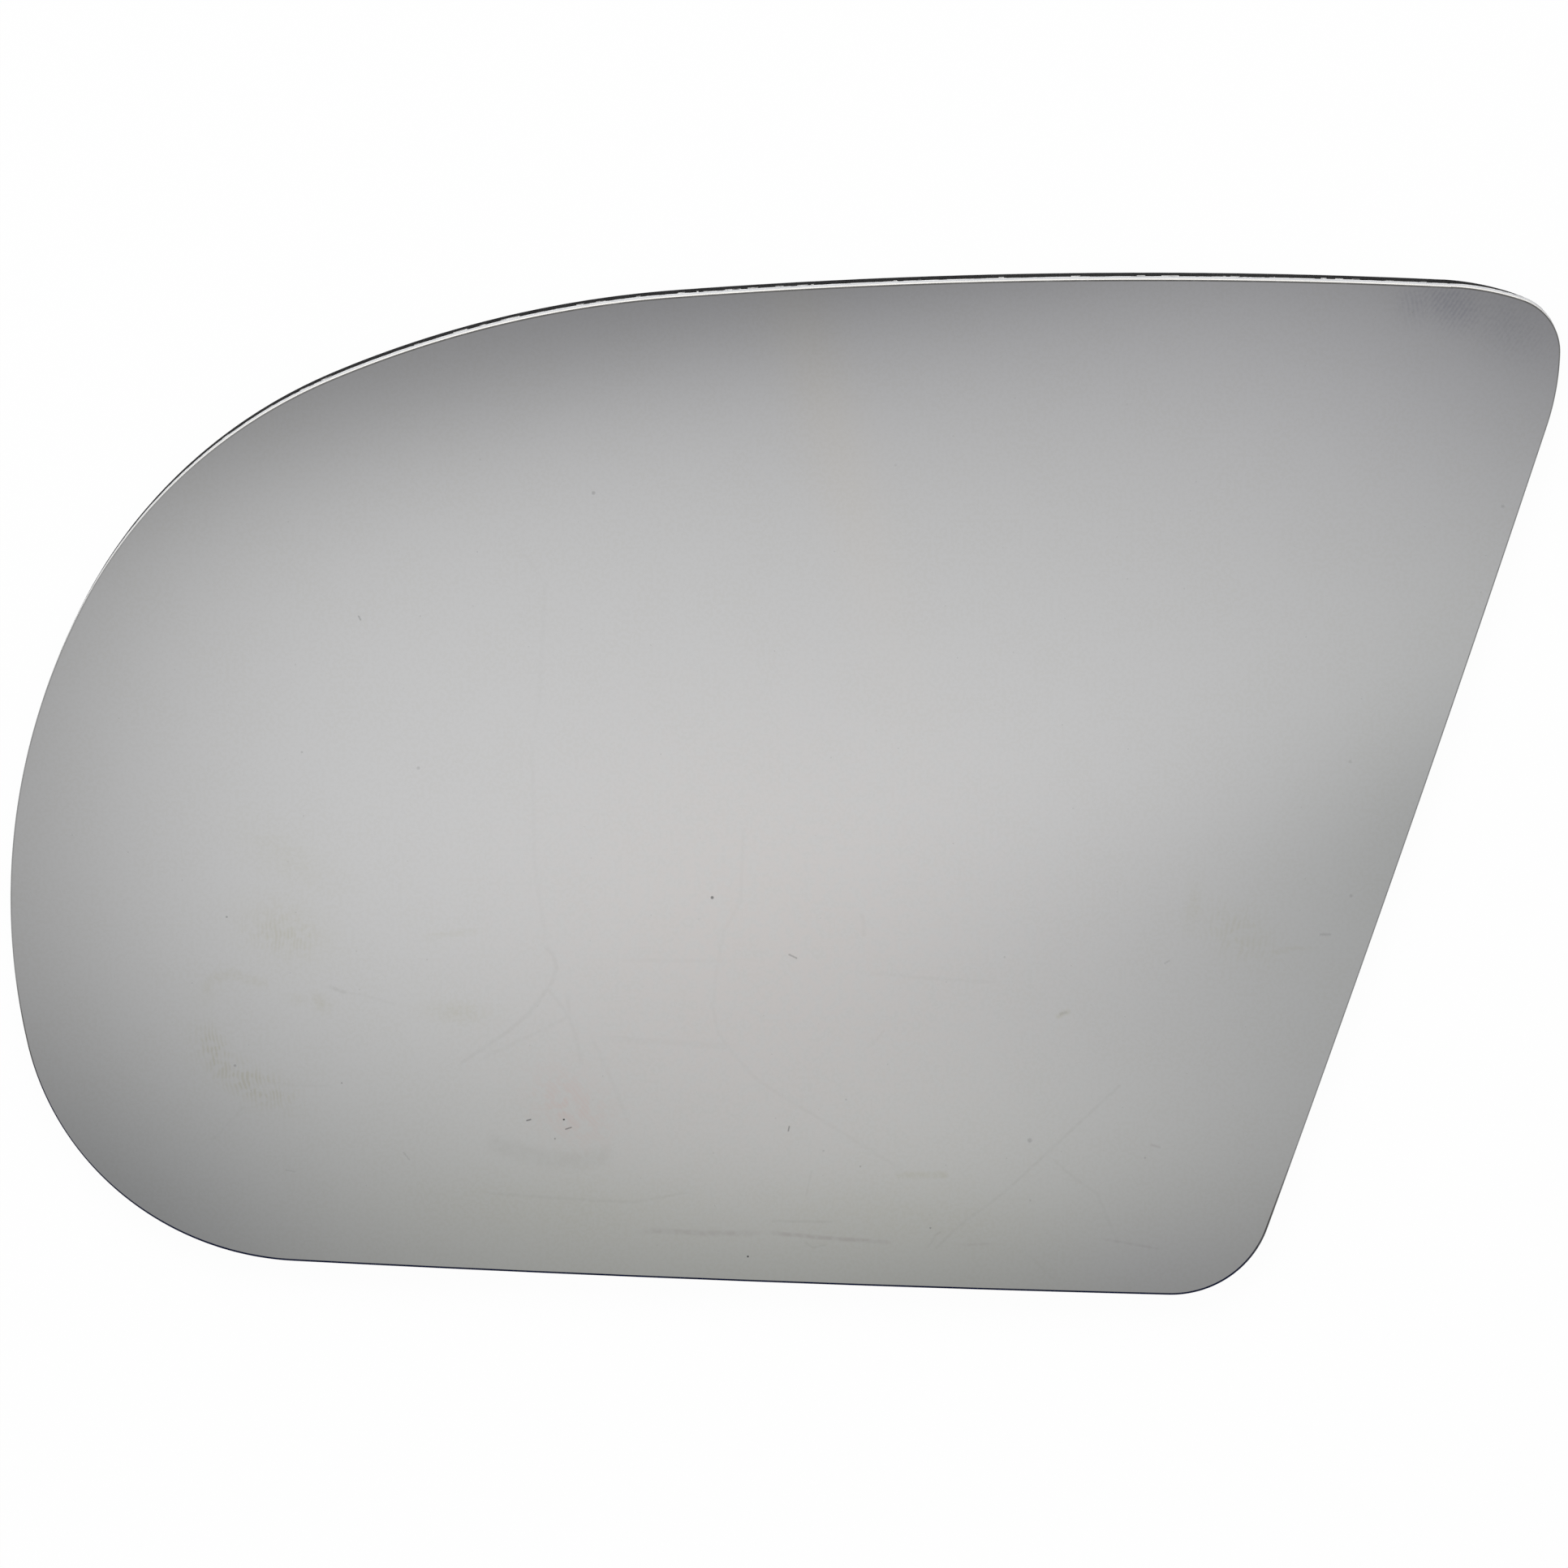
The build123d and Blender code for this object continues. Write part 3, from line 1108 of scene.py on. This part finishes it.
def raised(mesh: bmesh.types.BMesh, face: bmesh.types.BMFace, height: float) -> bmesh.types.BMFace:
    """Pull a face up and leave walls behind it.

    Args:
        mesh: The mesh that the face is in.
        face: The face.
        height: How far it goes up.

    Returns:
        The face in its new place.
    """
    pulled = bmesh.ops.extrude_face_region(mesh, geom=[face])["geom"]
    corners = [item for item in pulled if isinstance(item, bmesh.types.BMVert)]
    bmesh.ops.translate(mesh, vec=(0.0, 0.0, height), verts=corners)
    return next(item for item in pulled if isinstance(item, bmesh.types.BMFace))


def rim_bevel(mesh: bmesh.types.BMesh, level: float, size: float) -> None:
    """Bevel the rim that lies at one height."""
    bmesh.ops.bevel(
        mesh,
        geom=level_rim(mesh, level),
        offset=size,
        offset_type="OFFSET",
        segments=2,
        profile=0.5,
        affect="EDGES",
        material=-1,
    )


def level_rim(mesh: bmesh.types.BMesh, level: float) -> list[bmesh.types.BMEdge]:
    """The edges that lie wholly at one height."""
    return [edge for edge in mesh.edges if all(abs(vert.co.z - level) < RIM_SLACK for vert in edge.verts)]


def outward(vert: bmesh.types.BMVert) -> Vector:
    """The level direction that a wall's vertex faces."""
    return Vector((vert.normal.x, vert.normal.y, 0.0)).normalized()


def shade_smooth(mesh: bmesh.types.BMesh, crisp: float) -> None:
    """Shade a mesh smooth, apart from the edges where its faces meet at this angle or more."""
    for face in mesh.faces:
        face.smooth = True
    for edge in mesh.edges:
        edge.smooth = edge.calc_face_angle(0.0) < crisp


def broken_level(place: Vector) -> float:
    """A fine uneven value from 0 to 1, the same in each run."""
    return 0.5 + 0.5 * noise.noise(place)


def new_piece(name: str, mesh: bmesh.types.BMesh, finishes: list[bpy.types.Material]) -> bpy.types.Object:
    """Make an object of a finished mesh and put it in the scene.

    Args:
        name: Name of the piece.
        mesh: Its mesh, which is freed.
        finishes: Its materials, in the order of the faces' numbers.

    Returns:
        The object.
    """
    data = bpy.data.meshes.new(name)
    mesh.to_mesh(data)
    mesh.free()
    for finish in finishes:
        data.materials.append(finish)
    piece = bpy.data.objects.new(name, data)
    bpy.context.scene.collection.objects.link(piece)
    return piece


class GlassZone(IntEnum):
    """The parts of the glass that are finished apart, by material number, after the panels of its face."""

    ARRIS = len(FacePanel)
    EDGE = len(FacePanel) + 1


@dataclass
class MirrorGlass:
    """The cut plate: mirror face, front arris, ground edge, and the chipped edge at the back."""

    outline: Outline
    back: float
    front: float
    front_arris: float = 0.15 * MM
    back_arris: float = 0.05 * MM
    foot_extra: float = 0.10 * MM
    foot_starts: float = -40.0 * MM
    foot_full: float = -52.0 * MM
    chip_height: float = 0.55 * MM
    chip_run: float = 0.9 * MM
    chip_grit: float = 0.35 * MM
    chip_share: float = 0.42
    flake_depth: float = 0.75
    grit_depth: float = 0.3
    bend_draw: float = 0.3  # how far a chip draws in the middle of the back arris, and lifts it
    bend_lift: float = 0.45
    back_draw: float = 0.5  # and how far it draws in the back
    crisp: float = math.radians(12.0)
    mirror: MirrorFinish = field(default_factory=MirrorFinish)
    arris: ArrisFinish = field(default_factory=ArrisFinish)

    def chip_at(self, place: Vector) -> float:
        """How far the cut's back edge is broken away at a place, from 0 to the full height of a chip.

        Args:
            place: The place along the edge.

        Returns:
            The height of the break.
        """
        flake = noise.cell(place / self.chip_run)
        flake = max(0.0, abs(flake) - self.chip_share) / (1.0 - self.chip_share)
        grit = broken_level(place / self.chip_grit) ** 2
        return self.chip_height * min(1.0, self.flake_depth * flake + self.grit_depth * grit)

    def build_mesh(self) -> bmesh.types.BMesh:
        """Model the plate.

        Returns:
            The mesh, with its zones numbered.
        """
        mesh = bmesh.new()
        raised(mesh, self.outline.fill(mesh, self.back), self.front - self.back)
        bmesh.ops.recalc_face_normals(mesh, faces=mesh.faces[:])
        rim_bevel(mesh, self.front, self.front_arris)
        rim_bevel(mesh, self.back, self.back_arris)
        self.break_back_edge(mesh)
        self.widen_foot(mesh)
        self.part_panels(mesh)
        self.number_zones(mesh)
        return mesh

    def widen_foot(self, mesh: bmesh.types.BMesh) -> None:
        """Draw the inner line of the front arris in along the bottom, where it is ground wider.

        Args:
            mesh: The plate.
        """
        mesh.normal_update()
        inner = [vert for vert in mesh.verts if vert.co.z > self.front - self.front_arris / 10]
        moves = [(vert, outward(vert) * -self.foot_extra * self.foot_share(vert.co)) for vert in inner]
        for vert, move in moves:
            vert.co += move

    def foot_share(self, place: Vector) -> float:
        """How far a place belongs to the bottom side, from 0 to 1."""
        share = (self.foot_starts - place.y) / (self.foot_starts - self.foot_full)
        return min(1.0, max(0.0, share))

    def part_panels(self, mesh: bmesh.types.BMesh) -> None:
        """Cut the face along the lines between its panels.

        Args:
            mesh: The plate.
        """
        middle = FacePanel.MIDDLE.value
        cuts = (
            (on_face(0.0, middle.top), Vector((0.0, 1.0, 0.0))),
            (on_face(middle.left, 0.0), Vector((1.0, 0.0, 0.0))),
            (on_face(middle.right, 0.0), Vector((1.0, 0.0, 0.0))),
        )
        slack = self.front_arris / 100
        for place, across in cuts:
            flat = [face for face in mesh.faces if face.normal.z > LEVEL]
            rims = [edge for face in flat for edge in face.edges]
            corners = [vert for face in flat for vert in face.verts]
            geom = list(dict.fromkeys(flat + rims + corners))
            bmesh.ops.bisect_plane(mesh, geom=geom, dist=slack, plane_co=place, plane_no=across)
            mesh.normal_update()

    def break_back_edge(self, mesh: bmesh.types.BMesh) -> None:
        """Raise the foot of the wall where flakes have broken away, and draw the back in behind them.

        Args:
            mesh: The plate.
        """
        mesh.normal_update()
        foot = self.back + self.back_arris
        slack = self.back_arris / 3
        moves = []
        for vert in mesh.verts:
            chip = self.chip_at(vert.co.xy.to_3d())
            if abs(vert.co.z - foot) < slack:
                moves.append((vert, Vector((0.0, 0.0, chip))))
            elif self.back + slack / 4 < vert.co.z < foot:
                drawn = outward(vert) * -self.bend_draw * chip
                moves.append((vert, drawn + Vector((0.0, 0.0, self.bend_lift * chip))))
            elif vert.co.z < self.back + slack / 4:
                moves.append((vert, outward(vert) * -self.back_draw * chip))
        for vert, move in moves:
            vert.co += move

    def number_zones(self, mesh: bmesh.types.BMesh) -> None:
        """Give each face its zone, and keep the lines between zones crisp.

        Args:
            mesh: The plate.
        """
        mesh.normal_update()
        for face in mesh.faces:
            middle = face.calc_center_median()
            if face.normal.z > LEVEL:
                face.material_index = self.panel_at(middle)
            elif middle.z > self.front - self.front_arris:
                face.material_index = GlassZone.ARRIS
            else:
                face.material_index = GlassZone.EDGE
        shade_smooth(mesh, self.crisp)

    @staticmethod
    def panel_at(place: Vector) -> int:
        """The number of the face's panel that holds a place."""
        spot = Extent.around([(place.x / MM, place.y / MM)], spare=0.001)
        return next(number for number, panel in enumerate(FacePanel) if panel.value.meets(spot))

    def build(self) -> bpy.types.Object:
        """Model, dress and place the glass.

        Returns:
            The piece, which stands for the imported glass.
        """
        edge = GroundEdgeFinish(self.back, self.front)
        panels = [self.mirror.build(panel) for panel in FacePanel]
        finishes = panels + [self.arris.build(), edge.build()]
        piece = new_piece("cut_mirror_glass", self.build_mesh(), finishes)
        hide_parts(GLASS_NODE)
        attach(piece, BODY)
        return piece


@dataclass
class FoamPad:
    """The die-cut foam: cut smaller than the glass, squeezed out under it, and uneven from the cut."""

    outline: Outline
    bottom: float
    top: float
    rows: int = 5
    waist: float = 0.01 * MM
    unevenness: float = 0.015 * MM
    wave: float = 1.3 * MM
    lip: float = 0.015 * MM
    crisp: float = math.radians(40.0)

    def build_mesh(self) -> bmesh.types.BMesh:
        """Model the pad.

        Returns:
            The mesh.
        """
        mesh = bmesh.new()
        face = self.outline.fill(mesh, self.bottom)
        for _ in range(self.rows):
            face = raised(mesh, face, (self.top - self.bottom) / self.rows)
        bmesh.ops.recalc_face_normals(mesh, faces=mesh.faces[:])
        self.draw_in_wall(mesh)
        rim_bevel(mesh, self.top, self.lip)
        rim_bevel(mesh, self.bottom, self.lip)
        shade_smooth(mesh, self.crisp)
        return mesh

    def draw_in_wall(self, mesh: bmesh.types.BMesh) -> None:
        """Press the wall in, most at half height, with the ripple that the cutting die leaves.

        Args:
            mesh: The pad.
        """
        mesh.normal_update()
        moves = []
        for vert in mesh.verts:
            share = (vert.co.z - self.bottom) / (self.top - self.bottom)
            ripple = self.unevenness * broken_level(vert.co / self.wave)
            moves.append((vert, self.waist * math.sin(math.pi * share) + ripple))
        for vert, depth in moves:
            vert.co -= outward(vert) * depth

    def build(self) -> bpy.types.Object:
        """Model, dress and place the pad.

        Returns:
            The piece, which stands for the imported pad.
        """
        finish = FoamFinish(self.bottom, self.top)
        piece = new_piece("die_cut_foam_pad", self.build_mesh(), [finish.build()])
        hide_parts(PAD_NODE)
        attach(piece, BODY)
        return piece


class Ray(Enum):
    """The kinds of ray that a studio surface can tell apart."""

    CAMERA = "Is Camera Ray"
    GLOSSY = "Is Glossy Ray"
    TRANSMISSION = "Is Transmission Ray"


@dataclass(frozen=True)
class View:
    """The camera: a long lens that looks down on the glass from a little above its upper side."""

    aim: Vector
    tilt: float = math.radians(13.5)
    distance: float = 1.1015
    lens: float = 229.8
    sensor: float = 36.0

    def seat(self) -> Vector:
        """Where the camera is."""
        return self.aim + Vector((0.0, math.sin(self.tilt), math.cos(self.tilt))) * self.distance

    def build(self) -> bpy.types.Object:
        """Place the camera and make it the scene's own.

        Returns:
            The camera.
        """
        data = bpy.data.cameras.new("view")
        data.lens = self.lens
        data.sensor_width = self.sensor
        camera = bpy.data.objects.new("view", data)
        camera.location = self.seat()
        camera.rotation_euler = (-self.tilt, 0.0, 0.0)
        bpy.context.scene.collection.objects.link(camera)
        bpy.context.scene.camera = camera
        return camera


@dataclass(frozen=True)
class Glow(Oval):
    """A soft light or shade on the card over the mirror, given where the glass shows it."""

    level: float = 0.0

    def on_card(self, place: Socket) -> Socket:
        """The light that it adds or takes away."""
        return self.patch(place) * self.level


@dataclass(frozen=True)
class Tinge(Oval):
    """A faint colour on the card, given where the glass shows it."""

    colour: Colour = grey(1.0)

    def laid_on(self, place: Socket, under: Any) -> Socket:
        """The colour laid softly over another."""
        return place.graph.mix(self.patch(place), under, self.colour)


@dataclass
class Studio:
    """Pale floor, soft light, and the grey card that the mirror shows."""

    view: View
    floor_half: float = 3.0
    floor_colour: Colour = (0.82, 0.82, 0.82, 1.0)
    floor_white: float = 0.97
    card_height: float = 0.9
    card_half: float = 0.75
    card_fade: Span = (0.45, 0.95)  # shares of its half width between which it fades away
    card_base: float = 0.172
    silver: float = 0.838  # what the mirror gives back of the card's light
    low_sky: Colour = grey(0.74)
    high_sky: Colour = grey(0.42)
    dim_side: Colour = grey(0.22)
    high_from: Span = (0.0, 0.9)
    dim_from: Span = (0.3, 1.0)
    lamp_place: tuple[float, float, float] = (-0.2, 0.85, 0.85)
    lamp_length: float = 0.9
    lamp_width: float = 0.6
    lamp_power: float = 12.0
    # A program fitted card_base and these glows to the photo's tones. They were rounded, and five of the
    # levels were then changed.
    glows: tuple[Glow, ...] = (
        Glow(-1.0, -5.0, 97.0, 26.0, 10.0, 0.367),
        Glow(-28.0, 54.0, 71.0, 23.0, 37.0, 0.176),
        Glow(28.5, 39.0, 69.0, 17.0, 13.0, 0.136),
        Glow(18.5, -42.0, 39.0, 12.5, 3.0, 0.141),
        Glow(-93.0, -27.5, 54.0, 21.0, -80.0, -0.182),
        Glow(100.0, 4.0, 32.0, 10.0, 15.0, -0.136),
        Glow(84.5, 75.0, 29.0, 17.5, -56.0, -0.158),
        Glow(6.0, 65.0, 66.5, 9.5, 15.0, -0.195),
    )
    neutral: Colour = (1.002, 1.0, 1.006, 1.0)
    tinges: tuple[Tinge, ...] = (
        Tinge(-5.0, -62.0, 43.0, 20.0, 0.0, (0.989, 1.0, 0.950, 1.0)),
        Tinge(-8.0, 66.0, 90.0, 14.0, 0.0, (1.005, 1.0, 1.044, 1.0)),
        Tinge(88.0, 60.0, 24.0, 20.0, 0.0, (1.0, 0.996, 1.042, 1.0)),
        Tinge(-82.0, -52.0, 18.0, 14.0, 0.0, (0.988, 1.0, 1.014, 1.0)),
        Tinge(74.0, -8.0, 14.0, 26.0, -17.0, (0.990, 1.0, 0.998, 1.0)),
        Tinge(-4.0, -19.0, 15.0, 17.0, 0.0, (1.013, 1.0, 0.992, 1.0)),
        Tinge(6.0, 40.0, 16.0, 2.6, -75.0, (1.018, 1.0, 0.988, 1.0)),
        Tinge(44.0, -54.0, 8.0, 4.0, 0.0, (0.998, 1.0, 1.004, 1.0)),
    )

    def build(self) -> None:
        """Set up the stage and its light."""
        self.build_floor()
        self.build_card()
        self.build_world()
        self.build_lamp()

    @staticmethod
    def sheet(name: str, centre: Vector, half: float, material: bpy.types.Material) -> bpy.types.Object:
        """Lay out one level square of the stage.

        Args:
            name: Its name.
            centre: Its middle.
            half: Half of its side.
            material: What it is made of.

        Returns:
            The square.
        """
        mesh = bmesh.new()
        bmesh.ops.create_grid(mesh, x_segments=1, y_segments=1, size=half)
        bmesh.ops.translate(mesh, vec=centre, verts=mesh.verts[:])
        piece = new_piece(name, mesh, [material])
        return piece

    @staticmethod
    def seen_by(graph: Graph, *rays: Ray) -> Socket:
        """1 for the rays of these kinds and 0 for the rest."""
        seen = [graph.add("ShaderNodeLightPath", output=ray.value) for ray in rays]
        return sum_of(seen).lowest(1.0)

    def build_floor(self) -> None:
        """A pale floor that the camera sees as white, with the object's shadow on it."""
        material, graph = new_material("pale_floor")
        matte = graph.add("ShaderNodeBsdfDiffuse", None, {"Color": self.floor_colour})
        white = graph.add("ShaderNodeEmission", None, {"Color": grey(1.0), "Strength": 1.0})
        seen = self.seen_by(graph, Ray.CAMERA, Ray.GLOSSY, Ray.TRANSMISSION) * self.floor_white
        graph.surface(graph.add("ShaderNodeMixShader", None, {0: seen, 1: matte, 2: white}))
        material.cycles.emission_sampling = "NONE"
        self.sheet("floor", Vector((0.0, 0.0, 0.0)), self.floor_half, material)

    def build_card(self) -> None:
        """The card over the glass, which only reflections see: a soft light with shade towards its sides."""
        material, graph = new_material("reflected_card")
        place = graph.place()
        seat = self.view.seat()
        reach = self.card_height / (seat.z - self.view.aim.z)
        share = 1.0 / (1.0 + reach)
        shift = Vector((seat.x, seat.y, 0.0)) * (reach * share)
        on_glass = graph.add(
            "ShaderNodeMapping",
            {"vector_type": "POINT"},
            {"Vector": place, "Scale": (share, share, 0.0), "Location": shift},
        )
        level = sum_of(glow.on_card(on_glass) for glow in self.glows) + self.card_base
        colour: Any = self.neutral
        for tinge in self.tinges:
            colour = tinge.laid_on(on_glass, colour)
        lit = graph.times(colour, level / self.silver)
        glow = graph.add("ShaderNodeEmission", None, {"Color": lit, "Strength": 1.0})
        clear = graph.add("ShaderNodeBsdfTransparent")
        middle = Vector((0.0, -self.card_height * math.tan(self.view.tilt), self.card_height))
        fade = place.distance(middle).eased(*(self.card_half * part for part in self.card_fade))
        graph.surface(graph.add("ShaderNodeMixShader", None, {0: fade, 1: glow, 2: clear}))
        material.cycles.emission_sampling = "NONE"
        card = self.sheet("card", middle, self.card_half, material)
        card.visible_camera = False
        card.visible_diffuse = False
        card.visible_shadow = False
        card.visible_transmission = False

    def build_world(self) -> None:
        """A soft surround: white to the camera, and to reflections and light dim overhead and behind."""
        world = bpy.data.worlds.new("surround")
        bpy.context.scene.world = world
        world.use_nodes = True
        graph = Graph(world.node_tree)
        way = graph.add("ShaderNodeTexCoord", output="Generated")
        sky = graph.mix(graph.part(way, "Z").eased(*self.high_from), self.low_sky, self.high_sky)
        sky = graph.mix(graph.part(way, "Y").eased(*self.dim_from), sky, self.dim_side)
        seen = self.seen_by(graph, Ray.CAMERA)
        graph.surface(graph.add("ShaderNodeBackground", None, {"Color": graph.mix(seen, sky, grey(1.0))}))

    def build_lamp(self) -> None:
        """One broad soft lamp from the upper side of the glass."""
        data = bpy.data.lights.new("soft_lamp", "AREA")
        data.shape = "RECTANGLE"
        data.size = self.lamp_length
        data.size_y = self.lamp_width
        data.energy = self.lamp_power
        lamp = bpy.data.objects.new("soft_lamp", data)
        lamp.location = self.lamp_place
        lamp.rotation_euler = (-lamp.location).to_track_quat("-Z", "Y").to_euler()
        bpy.context.scene.collection.objects.link(lamp)


def main() -> None:
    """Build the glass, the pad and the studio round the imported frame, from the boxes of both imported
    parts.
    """
    logging.basicConfig(level=logging.INFO, format="%(name)s: %(message)s")
    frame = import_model()
    log.info("packed nodes: %s", sorted(frame["nodes"]))
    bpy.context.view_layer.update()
    bpy.context.scene.view_settings.view_transform = "Standard"

    low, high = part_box(GLASS_NODE)
    pad_low, pad_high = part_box(PAD_NODE)
    outline = Outline(width=high.x - low.x - 2 * ARC_SLACK, height=high.y - low.y - 2 * ARC_SLACK)
    glass = MirrorGlass(outline, back=low.z, front=high.z).build()
    log.info("%s: %d faces", glass.name, len(glass.data.polygons))
    margin = (pad_low.x - low.x) * (1.0 - PAD_BULGE)
    pad_outline = replace(outline, upper_right_radius=PAD_CORNER, margin=margin)
    pad = FoamPad(pad_outline, bottom=pad_low.z, top=pad_high.z).build()
    log.info("%s: %d faces", pad.name, len(pad.data.polygons))

    view = View(aim=Vector((AIM_X, AIM_Y, high.z)))
    view.build()
    Studio(view).build()


if __name__ == "__main__":
    main()
